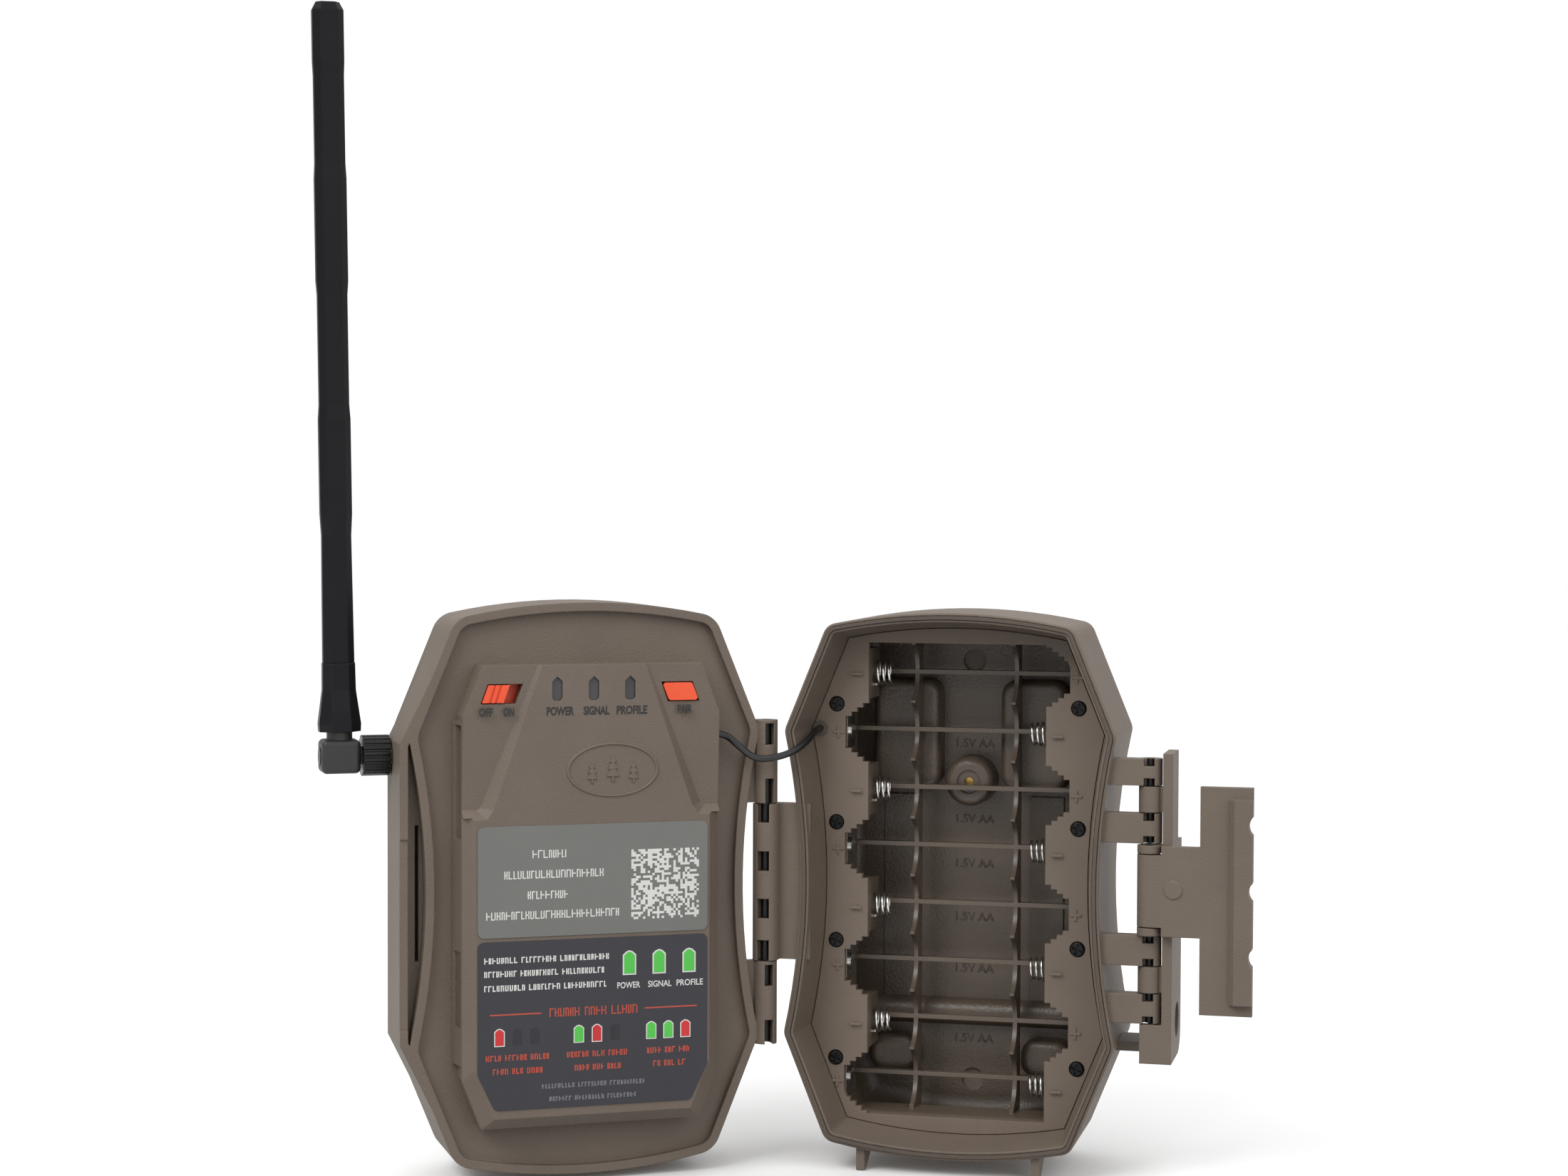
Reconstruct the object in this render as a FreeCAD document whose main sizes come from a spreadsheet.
import FreeCAD, Part
import Sketcher
import math
import os
from FreeCAD import Placement, Rotation, Vector

# Trail camera, standing open like a book. +Z is up and +Y is the way the tripod thread faces.
# The origin is the middle of the tripod thread's mouth in the back of the rear housing.
# Rear pieces are drawn in the rear housing's frame: X across, Z up, Y = 0 at its rim, +Y to its back.
# Front pieces are drawn in the front housing's frame: Y = 0 at its rim, +Y to the lens side.

doc = FreeCAD.newDocument("TrailCamera")
sheet = doc.addObject("Spreadsheet::Sheet", "Sizes")

sizes = [
    # housings
    ("cornerHalfWidth", 32.1, "rear rim: centre line to a corner, across"),
    ("cornerHalfHeight", 67.2, "rear rim: centre to a corner, up"),
    ("apexHalfHeight", 70.7, "rear rim: centre to the crown of the top edge"),
    ("kneeHalfWidth", 43.3, "rear rim: centre line to the widest point"),
    ("kneeHalfHeight", 39.6, "rear rim: height of the widest point"),
    ("waistDepth", 4.3, "how far a side curves in between its knees"),
    ("cornerRadius", 4.0, "rounding of the outline's corners"),
    ("rearDepth", "=cellDiameter + 27.5", "rear housing, rim to back"),
    ("frontDepth", 30.0, "front housing, rim to fascia"),
    ("wall", 2.4, "wall of both housings"),
    ("draft", 1.9, "how far the rear's inner wall leans in before the tray"),
    ("backRounding", 7.0, "rounding of the housings' outer edges"),
    ("lipOverlap", 1.2, "how far the front lip reaches over the rear rim"),
    ("lipWall", 2.2, "thickness of the front lip"),
    ("lipGap", 0.3, "clearance between lip and rear rim"),
    ("seatDepth", 1.0, "front housing's inner face, behind its rim plane"),
    ("openAngle", 31.0, "degrees short of flat that the housings stand open"),
    # hinge
    ("pinRadius", 1.25, "hinge pin"),
    ("pinGap", 0.05, "running clearance of every pin"),
    ("hingeOffset", 4.8, "hinge axis, out from the rear's knee"),
    ("rearBarrelRadius", 3.4, "rear hinge barrel"),
    ("frontKnuckleRadius", 3.0, "front hinge knuckles"),
    ("barrelHalfHeight", 20.4, "rear hinge barrel, half its height"),
    ("knuckleHeight", 21.6, "each front knuckle"),
    ("jointGap", 0.3, "end gap between knuckles"),
    ("leafWall", 3.0, "hinge leaves"),
    # battery tray
    ("trayDepth", 12.4, "tray face, behind the rim"),
    ("trayWall", 2.0, "tray panel"),
    ("trayGap", 0.2, "tray panel to housing wall"),
    ("cellPitch", 15.4, "distance between cells"),
    ("cellDiameter", 14.5, "one cell"),
    ("cellDrop", 0.3, "cell's front, behind the tray face"),
    ("wideHalf", 29.7, "tray opening beside a positive end"),
    ("narrowHalf", 23.5, "tray opening beside a spring"),
    ("openingHalfHeight", 62.2, "tray opening"),
    ("ribWall", 1.2, "tray ribs"),
    ("ribDepth", 5.0, "tray ribs, front to back"),
    ("verticalRibX", 13.4, "tray's two upright ribs"),
    ("screwX", 32.0, "tray screws, across"),
    ("screwPitch", 31.2, "tray screws, up"),
    ("screwShaft", 1.1, "tray screw thread radius"),
    ("screwHead", 1.9, "tray screw head radius"),
    ("springRadius", 3.6, "negative spring at its base"),
    ("springLength", 5.2, "negative spring"),
    # tripod thread, strap rails, feet
    ("tripodRadius", 3.175, "quarter-inch tripod thread"),
    ("tripodLength", 8.0, "tripod thread"),
    ("tripodHeight", 24.4, "tripod thread above the rim's centre"),
    ("tripodBoss", 6.6, "boss around the thread"),
    ("railX", 20.0, "strap rails, centre line to rail"),
    ("railWidth", 9.0, "strap rails"),
    ("railHeight", 56.0, "strap rails"),
    ("railDepth", 9.0, "strap rails stand behind the back"),
    ("strapHeight", 27.0, "strap slot"),
    ("strapDepth", 4.6, "strap slot"),
    ("finX", 22.9, "bottom fins, across"),
    ("finDrop", 4.0, "bottom fins below the rim"),
    # latch
    ("latchX", "=kneeHalfWidth + 8.2", "latch axis, across"),
    ("latchY", 5.0, "latch axis, behind the rim"),
    ("latchRadius", 3.0, "latch knuckles"),
    ("latchPin", 1.1, "latch pins"),
    ("hookOffset", 2.6, "hasp pin, in front of the latch axis"),
    ("latchPlate", 2.5, "lever's side plate"),
    ("latchGap", 0.4, "side plate to knuckles"),
    ("leverReach", 20.0, "side plate, behind the latch axis"),
    ("leverTop", 35.6, "side plate's upper end"),
    ("leverBottom", -43.4, "side plate's lower end"),
    ("eyeRadius", 4.5, "padlock eye"),
    ("haspWall", 2.4, "hasp plate"),
    ("haspArm", 13.1, "hasp axis to its cross-piece"),
    ("haspReach", 26.3, "hasp axis to its far edge"),
    ("haspHalfHeight", 28.8, "hasp cross-piece, half its height"),
    ("hookLip", 2.2, "hasp's hook"),
    ("hookWidth", 5.8, "hasp's hook"),
    ("wingX", "=kneeHalfWidth + 4.8", "front housing's latch wing, across"),
    ("wingHalfHeight", 38.0, "front housing's latch wing"),
    ("hookGap", 0.4, "closed hasp to latch wing"),
    # control module
    ("moduleHalfWidth", 33.3, "module, across"),
    ("moduleTop", 57.8, "module's top edge"),
    ("moduleBottom", 59.3, "module's bottom edge, below the centre"),
    ("moduleCorner", 4.9, "module's corner bevels, across"),
    ("moduleCornerHeight", 12.6, "module's corner bevels, up"),
    ("moduleBevel", 2.9, "bevel round the label panel"),
    ("moduleFaceWall", 4.4, "module's face, front to inside"),
    ("padTilt", 0.055, "slope of the two control pads"),
    ("padDrop", 0.5, "control pads at the top edge, behind the face"),
    ("padEnd", 21.4, "lower end of the control pads"),
    ("moduleRise", 8.7, "module face, in front of the rim plane"),
    ("moduleWall", 1.8, "module's walls"),
    ("labelHalfWidth", 29.8, "both labels"),
    ("labelWall", 0.25, "both labels"),
    ("idLabelTop", 17.4, "identity label"),
    ("idLabelHeight", 28.0, "identity label"),
    ("guideTop", -11.6, "guide label"),
    ("guideHeight", 42.6, "guide label"),
    ("controlZ", 50.6, "switch and button row"),
    ("windowHeight", 5.0, "switch window"),
    ("switchX", -23.5, "slide switch window's centre"),
    ("switchWindow", 9.0, "slide switch window"),
    ("switchTravel", 3.0, "slide switch travel"),
    ("controlGap", 0.25, "knob and button clearance"),
    ("pairX", 22.8, "pair button's centre"),
    ("pairWidth", 7.8, "pair button"),
    ("pairTravel", 0.8, "pair button travel"),
    ("lightPitch", 9.45, "light pipes"),
    ("lightWidth", 2.6, "light pipes"),
    ("lightHeight", 6.0, "light pipes"),
    ("lightZ", 51.8, "light pipes"),
    ("boardDepth", 6.0, "main board, behind the rim plane"),
    ("boardWall", 1.6, "circuit boards"),
    # lens side
    ("fasciaWall", 2.4, "front fascia"),
    ("lensZ", 4.0, "camera lens"),
    ("lensRadius", 8.0, "lens window"),
    ("barrelRadius", 6.5, "lens barrel"),
    ("infraredZ", 37.0, "infrared window"),
    ("infraredHalfWidth", 22.0, "infrared window"),
    ("infraredHalfHeight", 15.0, "infrared window"),
    ("motionZ", -32.0, "motion sensor"),
    ("motionRadius", 13.0, "motion lens"),
    # antenna and cable
    ("antennaY", 14.0, "antenna axis, behind the rim plane"),
    ("antennaZ", 34.1, "antenna axis, up"),
    ("jackRadius", 3.1, "antenna jack thread"),
    ("nutRadius", 5.2, "coupling nut"),
    ("nutLength", 6.9, "coupling nut"),
    ("elbowWidth", 9.9, "elbow block, across"),
    ("elbowHeight", 8.6, "elbow block, up"),
    ("elbowDepth", 8.6, "elbow block, front to back"),
    ("sleeveHeight", 17.4, "flared sleeve"),
    ("sleeveRadius", 5.2, "flared sleeve at its foot"),
    ("whipWidth", 7.9, "whip, across"),
    ("whipDepth", 5.8, "whip, front to back"),
    ("whipTop", 190.3, "whip tip, above the antenna axis"),
    ("whipLean", 0.9, "degrees that the whip leans"),
    ("cableRadius", 0.9, "power cable"),
]
for row, (alias, value, note) in enumerate(sizes, start=1):
    sheet.set("A%d" % row, note)
    sheet.setAlias("B%d" % row, alias)
for row, (alias, value, note) in enumerate(sizes, start=1):
    sheet.set("B%d" % row, str(value))
doc.recompute()


def size(alias):
    return float(sheet.get(alias))


hingeX = size("kneeHalfWidth") + size("hingeOffset")
rearPlace = Placement(Vector(0, -size("rearDepth"), -size("tripodHeight")), Rotation())
frontTurn = Rotation(Vector(0, 0, 1), size("openAngle"))
frontOrigin = Vector(-hingeX, 0, 0) - frontTurn.multVec(Vector(hingeX, 0, 0))
frontPlace = rearPlace.multiply(Placement(frontOrigin, frontTurn))
parts = []


# ---------- helpers ----------

def box(x0, y0, z0, x1, y1, z1):
    return Part.makeBox(x1 - x0, y1 - y0, z1 - z0, Vector(x0, y0, z0))


def rod(radius, start, direction, length):
    return Part.makeCylinder(radius, length, Vector(*start), Vector(*direction))


def upright(radius, x, y, z0, z1):
    return rod(radius, (x, y, z0), (0, 0, 1), z1 - z0)


def polygon(points, y=0.0):
    # closed flat wire of straight edges in an XZ plane
    corners = [Vector(x, y, z) for x, z in points]
    return Part.makePolygon(corners + corners[:1])


def slab(wire, depth):
    return Part.Face(wire).extrude(Vector(0, depth, 0))


def shifted(wire, y):
    moved = wire.copy()
    moved.translate(Vector(0, y, 0))
    return moved


def keep(label, shape, place):
    # a piece whose form is drawn with Part's own functions
    feature = doc.addObject("Part::Feature", label)
    feature.Label = label
    feature.Shape = shape
    feature.Placement = place
    parts.append(feature)
    return feature


def listed(feature, label, place):
    feature.Label = label
    feature.Placement = place
    parts.append(feature)
    return feature


def bind(feature, formulas):
    for name, formula in formulas.items():
        feature.setExpression(name, formula)
    return feature


def brick(name, across, deep, up, lengths):
    # Part::Box with its low corner and its sides bound to the sheet
    feature = doc.addObject("Part::Box", name)
    return bind(feature, {
        "Placement.Base.x": across, "Placement.Base.y": deep, "Placement.Base.z": up,
        "Length": lengths[0], "Width": lengths[1], "Height": lengths[2]})


def barrel(name, across, deep, up, radius, length, turn):
    # Part::Cylinder with its foot, radius and length bound to the sheet
    feature = doc.addObject("Part::Cylinder", name)
    feature.Placement.Rotation = turn
    return bind(feature, {
        "Placement.Base.x": across, "Placement.Base.y": deep, "Placement.Base.z": up,
        "Radius": radius, "Height": length})


def seated(feature, label, place):
    # a primitive keeps its bound corner, so a wrapper carries the housing's placement
    wrapper = doc.addObject("Part::Compound", label + "_set")
    wrapper.Links = [feature]
    return listed(wrapper, label, place)


def carved(name, base, tool):
    feature = doc.addObject("Part::Cut", name)
    feature.Base = base
    feature.Tool = tool
    return feature


turnUp = Rotation()
turnBack = Rotation(Vector(1, 0, 0), -90)
turnLeft = Rotation(Vector(0, 1, 0), -90)


def sketch_loops(body, name, loops, depth):
    # flat loops drawn on the body's XZ plane, set back by a sheet formula
    sketch = body.newObject("Sketcher::SketchObject", name)
    plane = [f for f in body.Origin.OriginFeatures if f.Role == "XZ_Plane"][0]
    sketch.AttachmentSupport = [(plane, "")]
    sketch.MapMode = "FlatFace"
    sketch.setExpression("AttachmentOffset.Base.z", "-(" + depth + ")")
    for points in loops:
        first = sketch.GeometryCount
        count = len(points)
        for i in range(count):
            ax, az = points[i]
            bx, bz = points[(i + 1) % count]
            sketch.addGeometry(Part.LineSegment(Vector(ax, az, 0), Vector(bx, bz, 0)), False)
        for i in range(count):
            after = first + (i + 1) % count
            sketch.addConstraint(Sketcher.Constraint("Coincident", first + i, 2, after, 1))
    return sketch


def pad(body, name, loops, depth, length):
    feature = body.newObject("PartDesign::Pad", name)
    feature.Profile = sketch_loops(body, name + "_sketch", loops, depth)
    feature.Reversed = True
    feature.setExpression("Length", length)
    doc.recompute()
    return feature


def pocket(body, name, loops, depth, length):
    before = body.Shape.Volume
    feature = body.newObject("PartDesign::Pocket", name)
    feature.Profile = sketch_loops(body, name + "_sketch", loops, depth)
    feature.setExpression("Length", length)
    doc.recompute()
    if body.Shape.Volume >= before:
        raise RuntimeError(name + " cuts nothing")
    return feature


def round_edges(body, name, radius, chosen):
    # rounds the edges of the body's last feature that a test picks out
    base = body.Tip
    edges = ["Edge%d" % (i + 1) for i, edge in enumerate(base.Shape.Edges) if chosen(edge)]
    feature = body.newObject("PartDesign::Fillet", name)
    feature.Base = (base, edges)
    feature.Radius = radius
    doc.recompute()
    return feature


def new_body(label, place):
    body = doc.addObject("PartDesign::Body", label)
    return listed(body, label, place)


def rectangle(x0, z0, x1, z1):
    return [(x0, z0), (x1, z0), (x1, z1), (x0, z1)]


def mirrored(points):
    return [(-x, z) for x, z in reversed(points)]




# ---------- outlines ----------

def housing_wire():
    # rim outline: crowned ends, slanted shoulders, sides that curve in; leftX makes the left side straight
    cx, cz, az = size("cornerHalfWidth"), size("cornerHalfHeight"), size("apexHalfHeight")
    kx, kz, waist = size("kneeHalfWidth"), size("kneeHalfHeight"), size("waistDepth")
    at = lambda x, z: Vector(x, 0, z)
    left = [Part.LineSegment(at(-cx, -cz), at(-kx, -kz)).toShape(),
            Part.Arc(at(-kx, -kz), at(-kx + waist, 0), at(-kx, kz)).toShape(),
            Part.LineSegment(at(-kx, kz), at(-cx, cz)).toShape()]
    edges = [Part.Arc(at(-cx, cz), at(0, az), at(cx, cz)).toShape(),
             Part.LineSegment(at(cx, cz), at(kx, kz)).toShape(),
             Part.Arc(at(kx, kz), at(kx - waist, 0), at(kx, -kz)).toShape(),
             Part.LineSegment(at(kx, -kz), at(cx, -cz)).toShape(),
             Part.Arc(at(cx, -cz), at(0, -az), at(-cx, -cz)).toShape()]
    sharp = slab(Part.Wire(Part.__sortEdges__(edges + left)), 1.0)
    upstanding = [e for e in sharp.Edges if abs(e.tangentAt(e.FirstParameter).y) > 0.9]
    soft = sharp.makeFillet(size("cornerRadius"), upstanding)
    foot = [f for f in soft.Faces if f.normalAt(0, 0).y < -0.9][0]
    return foot.OuterWire


rimWire = housing_wire()


def rim(grow, y=0.0):
    # the rim's outline, grown or shrunk, at a depth
    wire = rimWire if abs(grow) < 1e-6 else rimWire.makeOffset2D(grow, 0, False, False, True)
    return shifted(wire, y)


def softened(solid, y, radius):
    # rounds the edges that lie in the plane at depth y
    edges = [e for e in solid.Edges
             if abs(e.BoundBox.YMin - y) < 1e-4 and abs(e.BoundBox.YMax - y) < 1e-4]
    return solid.makeFillet(radius, edges)


wall = size("wall")
rearDepth = size("rearDepth")
trayDepth = size("trayDepth")
frontDepth = size("frontDepth")
lipGrow = size("lipGap") + size("lipWall")
seatDepth = size("seatDepth")
barrelHalf = size("barrelHalfHeight")
kneeX = size("kneeHalfWidth")
waistX = kneeX - size("waistDepth")
pinBore = size("pinRadius") + size("pinGap")
bayHeights = [(3.5 - i) * size("cellPitch") for i in range(8)]
postRadius = 2.0
screwSpots = [(side * size("screwX"), (1.5 - i) * size("screwPitch") - 0.9)
              for side in (-1, 1) for i in range(4)]


# ---------- rear housing ----------

latchX, latchY = size("latchX"), size("latchY")
latchRadius = size("latchRadius")
armSpans = [(27.4, 34.2), (12.7, 20.3), (-18.5, -10.8), (-33.2, -25.7)]
leverPinBore = size("latchPin")


def side_x(z):
    # how far the rear's side stands out at a height between the knees
    kz = size("kneeHalfHeight")
    return waistX + size("waistDepth") * (z / kz) ** 2


def crown_z(x):
    # height of the crowned end's arc at a distance from the centre line
    half, rise = size("cornerHalfWidth"), size("apexHalfHeight") - size("cornerHalfHeight")
    arc = (half ** 2 + rise ** 2) / (2 * rise)
    return size("apexHalfHeight") - arc + math.sqrt(arc ** 2 - x ** 2)


def rear_shell():
    body = softened(slab(rim(0), rearDepth), rearDepth, size("backRounding"))
    body = softened(body, 0.0, 0.5)
    leaning = Part.makeLoft([rim(-wall), rim(-wall - size("draft"), trayDepth)], True, True)
    hollow = slab(rim(-wall - size("draft"), trayDepth), rearDepth - wall - trayDepth)
    hollow = softened(hollow, rearDepth - wall, size("backRounding") - wall)
    body = body.cut(leaning).cut(hollow)
    # seal groove along the rim
    groove = slab(rim(-wall * 0.3), 1.0).cut(slab(rim(-wall * 0.75), 1.0))
    body = body.cut(groove)
    adds, cuts = [], []
    # posts under the tray screws
    postFront = trayDepth + size("trayWall")
    for x, z in screwSpots:
        adds.append(rod(postRadius, (x, postFront, z), (0, 1, 0), rearDepth - wall - postFront + 0.5))
        cuts.append(rod(size("screwShaft"), (x, postFront - 1, z), (0, 1, 0), 9.0))
    # boss around the tripod thread
    tripodBore = size("tripodRadius") + 1.0
    tripodZ = size("tripodHeight")
    bossFront = rearDepth - 11.5
    boss = rod(size("tripodBoss"), (0, bossFront, tripodZ), (0, 1, 0), 11.0)
    adds.append(softened(boss, bossFront, 2.4))
    cuts.append(rod(tripodBore, (0, rearDepth - size("tripodLength") - 1, tripodZ), (0, 1, 0),
                    size("tripodLength") + 2))
    cuts.append(rod(3.1, (0, bossFront - 1, tripodZ), (0, 1, 0), 1.6))
    cuts.append(rod(1.2, (0, bossFront - 1, tripodZ), (0, 1, 0), 6))
    # hinge barrel and its leaf
    radius = size("rearBarrelRadius")
    adds.append(upright(radius, -hingeX, 0, -barrelHalf, barrelHalf))
    leafBack = radius + 1.2
    adds.append(box(-hingeX, leafBack - size("leafWall"), -barrelHalf,
                    -waistX + wall, leafBack, barrelHalf))
    adds.append(box(-hingeX, 0.5, -barrelHalf, -hingeX + radius, leafBack, barrelHalf).common(
        upright(leafBack, -hingeX, 0, -barrelHalf, barrelHalf)))
    cuts.append(upright(pinBore, -hingeX, 0, -barrelHalf - 1, barrelHalf + 1))
    # moulding windows in the barrel show the pin
    for low, high in ((15.6, 20.4), (3.0, 8.2), (-9.4, -4.2), (-20.4, -15.0)):
        cuts.append(box(-hingeX - 1.5, -radius - 1, low, -hingeX + 1.6, -0.4, high))
    # strap rails on the back, with serrated faces and the strap slot through them
    railZ = -8.0
    for side in (-1, 1):
        x0 = side * size("railX") - size("railWidth") / 2
        low, high = railZ - size("railHeight") / 2, railZ + size("railHeight") / 2
        rail = box(x0, rearDepth - 3, low, x0 + size("railWidth"), rearDepth + size("railDepth"), high)
        teeth = int(size("railHeight") // 5)
        for i in range(teeth):
            z = low + (i + 0.5) * size("railHeight") / teeth
            tooth = Part.makeCylinder(1.3, size("railWidth") + 2,
                                      Vector(x0 - 1, rearDepth + size("railDepth"), z), Vector(1, 0, 0))
            rail = rail.cut(tooth)
        adds.append(rail)
    slotHalf = size("strapHeight") / 2
    slotFront = rearDepth + 0.8
    cuts.append(box(-kneeX, slotFront, railZ - slotHalf, kneeX,
                    slotFront + size("strapDepth"), railZ + slotHalf))
    # two fins under the housing
    for side in (-1, 1):
        x = side * size("finX")
        bottom = -size("apexHalfHeight") - size("finDrop")
        finTop = 1.23 - crown_z(x)
        finFront = size("lipOverlap") + 0.4
        fin = Part.Face(Part.makePolygon([
            Vector(x - 1.1, finFront, bottom), Vector(x - 1.1, finFront, finTop),
            Vector(x - 1.1, 15.0, finTop), Vector(x - 1.1, 4.0, bottom),
            Vector(x - 1.1, finFront, bottom)])).extrude(Vector(2.2, 0, 0))
        adds.append(fin)
    # four latch arms with H windows, and the padlock tab
    for low, high in armSpans:
        inner = side_x((low + high) / 2) - wall * 0.6
        arm = box(inner, latchY - latchRadius, low, latchX, latchY + 1.4, high).fuse(
            upright(latchRadius, latchX, latchY, low, high))
        for a, b in ((low - 1, low + 1.9), (high - 1.9, high + 1)):
            arm = arm.cut(box(latchX - 1.5, latchY - latchRadius - 1, a,
                              latchX + 1.3, latchY - 0.6, b))
        adds.append(arm)
        cuts.append(upright(leverPinBore, latchX, latchY, low - 0.4, high + 0.4))
    tabOut = latchX + 2.2
    tab = box(tabOut - 3.0, 9.0, -41.6, tabOut, 22.0, -28.0)
    shelf = box(kneeX - wall, 9.0, -41.6, tabOut, 22.0, -39.2)
    adds += [tab, shelf]
    cuts.append(rod(size("eyeRadius"), (tabOut - 4, 15.5, -34.0), (1, 0, 0), 5))
    # inner humps of the outside's recesses, and a round bolster below them
    humpFront = rearDepth - 9.2
    for side in (-1, 1):
        for x0, x1, z0, z1 in ((8.2, 26.4, 22.0, 51.6), (13.8, 27.4, -54.8, -44.8)):
            low, high = sorted((side * x0, side * x1))
            hump = box(low, humpFront, z0, high, rearDepth - wall + 0.5, z1)
            sides = [e for e in hump.Edges if e.BoundBox.YLength > 1 and e.BoundBox.XLength < 1e-6]
            hump = hump.makeFillet(4.2, sides)
            edges = [e for e in hump.Edges if abs(e.BoundBox.YMax - humpFront) < 1e-6]
            adds.append(hump.makeFillet(2.2, edges))
    adds.append(rod(3.6, (-31.0, rearDepth - wall - 1.0, -38.6), (1, 0, 0), 62.0))
    for z in (56.4, -57.1):
        cuts.append(rod(3.0, (0, rearDepth - wall - 1, z), (0, 1, 0), 2.2))
    for extra in adds:
        body = body.fuse(extra)
    for hole in cuts:
        body = body.cut(hole)
    return body.removeSplitter()


keep("rear_shell", rear_shell(), rearPlace)

gasketLoop = slab(rim(-wall * 0.34, -0.5), 1.4).cut(slab(rim(-wall * 0.71, -0.5), 1.4))
keep("rim_gasket", gasketLoop, rearPlace)


# ---------- battery tray ----------

grommetZ, grommetRadius = 39.4, 1.6
innerFace = Part.Face(rim(-wall - size("draft")))
innerSpan = innerFace.common(Part.makeLine(Vector(0, 0, grommetZ), Vector(-200, 0, grommetZ)))
grommetX = round(innerSpan.BoundBox.XMin, 3) + 2.341


def bay_edge(side, index):
    # positive ends alternate from side to side
    positive = (index % 2 == 1) == (side < 0)
    return size("wideHalf") if positive else size("narrowHalf")


def stepped_edge(side):
    # the opening's edge on one side, from the top down: it steps outwards round each positive end
    half = size("openingHalfHeight")
    narrow, wide = size("narrowHalf"), size("wideHalf")
    reach = size("cellPitch") / 2
    points = [(narrow, half)]
    for i, z in enumerate(bayHeights):
        if bay_edge(side, i) == narrow:
            continue
        top, low = [], []
        for k in range(4):
            drop = reach - k * 1.15
            inner, outer = narrow + (wide - narrow) * k / 4, narrow + (wide - narrow) * (k + 1) / 4
            top += [(inner, z + drop), (outer, z + drop)]
            low += [(inner, z - drop), (outer, z - drop)]
        points += top + list(reversed(low))
    points.append((narrow, -half))
    return [(side * x, z) for x, z in points]


def battery_tray():
    face = trayDepth
    back = trayDepth + size("trayWall")
    tray = slab(rim(-wall - size("draft") - size("trayGap"), face), size("trayWall"))
    opening = slab(polygon(stepped_edge(1) + list(reversed(stepped_edge(-1))), face - 1),
                   size("trayWall") + 2)
    border = slab(rim(-wall - size("draft") - size("trayGap") - 1.8, face - 1), size("trayWall") + 2)
    tray = tray.cut(opening.common(border))
    half = size("openingHalfHeight")
    cellBack = face + size("cellDrop") + size("cellDiameter")
    wideX = size("wideHalf")
    adds = []
    # end walls behind the panel hold springs and contacts, and a top and a bottom wall close the tray
    for side in (-1, 1):
        x0, x1 = sorted((side * (wideX + 0.6), side * (wideX + 1.8)))
        adds.append(box(x0, back - 0.4, -half - 1.2, x1, cellBack, half + 1.2))
        for i, z in enumerate(bayHeights):
            if bay_edge(side, i) == size("narrowHalf"):
                a, b = sorted((side * size("narrowHalf"), side * (wideX + 1.0)))
                adds.append(box(a, back - 0.4, z - 6.6, b, cellBack - 1, z + 6.6))
                a, b = sorted((side * (size("narrowHalf") + 0.2), side * wideX))
                raised = box(a, face - 0.6, z - 7.0, b, face + 0.5, z + 7.0)
                adds.append(softened(raised, face - 0.6, 0.4))
    for z in (-half - 1.2, half):
        adds.append(box(-wideX - 1.8, back - 0.4, z, wideX + 1.8, cellBack, z + 1.2))
    # a thin keel under each cell, and two upright ribs that cradle them
    ribBack = cellBack + 0.3 + size("ribDepth")
    ribWall = size("ribWall")
    for z in bayHeights:
        adds.append(box(-wideX - 1.0, cellBack + 0.3, z - ribWall / 2,
                        wideX + 1.0, cellBack + 0.3 + 2.6, z + ribWall / 2))
    radius = size("cellDiameter") / 2
    for side in (-1, 1):
        x = side * size("verticalRibX")
        rib = box(x - ribWall / 2, cellBack - 5.4, -half - 0.6, x + ribWall / 2, ribBack, half + 0.6)
        for z in bayHeights:
            rib = rib.cut(rod(radius + 0.35, (x - 5, cellBack - radius, z), (1, 0, 0), 10))
        adds.append(rib)
    # end walls reach back to the keels, and the whole frame stays inside the housing
    for side in (-1, 1):
        x0, x1 = sorted((side * (wideX + 0.6), side * (wideX + 1.8)))
        adds.append(box(x0, cellBack - 1, -half - 1.2, x1, cellBack + 3, half + 1.2))
    space = slab(rim(-wall - size("draft") - size("trayGap"), face), rearDepth)
    for extra in adds:
        tray = tray.fuse(extra.common(space))
    for x, z in screwSpots:
        tray = tray.cut(rod(postRadius + 0.15, (x, back, z), (0, 1, 0), rearDepth))
        tray = tray.cut(rod(size("screwShaft") + 0.2, (x, face - 1, z), (0, 1, 0), 5))
        tray = tray.cut(rod(size("screwHead") + 0.15, (x, face - 1, z), (0, 1, 0), 1.9))
    tray = tray.cut(rod(grommetRadius, (grommetX, face - 1, grommetZ), (0, 1, 0), 5))
    return tray.removeSplitter()


keep("battery_tray", battery_tray(), rearPlace)


def tray_screw(x, z):
    head = rod(size("screwHead"), (x, trayDepth - 0.5, z), (0, 1, 0), 1.4)
    head = softened(head, trayDepth - 0.5, 0.5)
    shaft = rod(size("screwShaft") - 0.05, (x, trayDepth + 0.8, z), (0, 1, 0), 8.6)
    screw = head.fuse(shaft)
    for turn in (0, 90):
        bar = box(x - 1.5, trayDepth - 1, z - 0.35, x + 1.5, trayDepth + 0.4, z + 0.35)
        bar.rotate(Vector(x, 0, z), Vector(0, 1, 0), turn + 20)
        screw = screw.cut(bar)
    return screw.removeSplitter()


keep("tray_screws", Part.makeCompound([tray_screw(x, z) for x, z in screwSpots]), rearPlace)

cellAxis = trayDepth + size("cellDrop") + size("cellDiameter") / 2


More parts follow.
